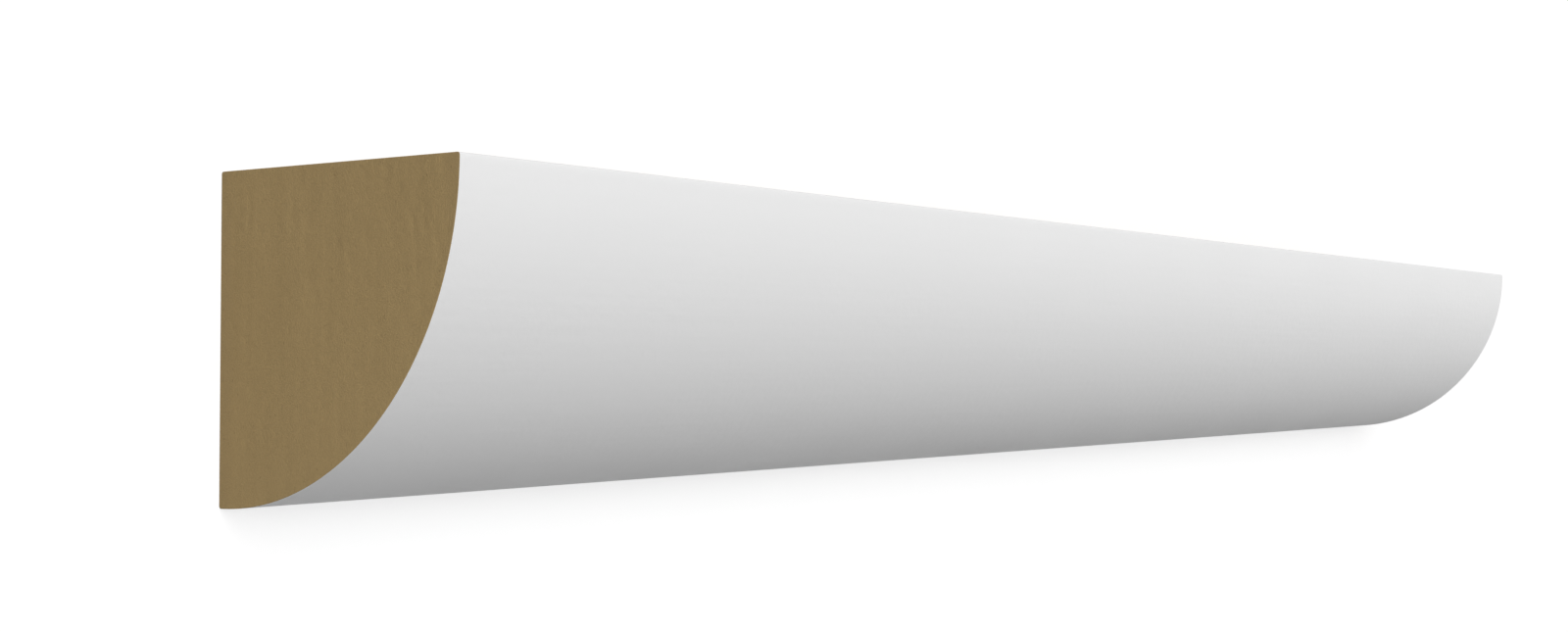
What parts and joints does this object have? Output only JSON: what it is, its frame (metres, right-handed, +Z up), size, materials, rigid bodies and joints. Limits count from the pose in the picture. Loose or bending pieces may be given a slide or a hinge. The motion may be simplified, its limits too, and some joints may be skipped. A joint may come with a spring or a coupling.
{
  "type": "quarter round moulding",
  "caption": "Straight quarter round trim moulding of medium-density fibreboard, white-primed on its round face, that covers the joint between a floor and a wall.",
  "frame": {"origin": "centre of the floor face, midway along the length", "axes": "+X along the length towards the far sawn end, +Y out of the wall face at the back, +Z up from the floor face; the round face looks towards -Y and +Z"},
  "size_m": [0.1778, 0.019, 0.019],
  "materials": {
    "primed_fibreboard": "matt white primer on the round face, bare brown fibreboard on the sawn ends and the two hidden flats"
  },
  "bodies": {
    "root": {"quarter_round_moulding": "primed_fibreboard"}
  },
  "joints": []
}
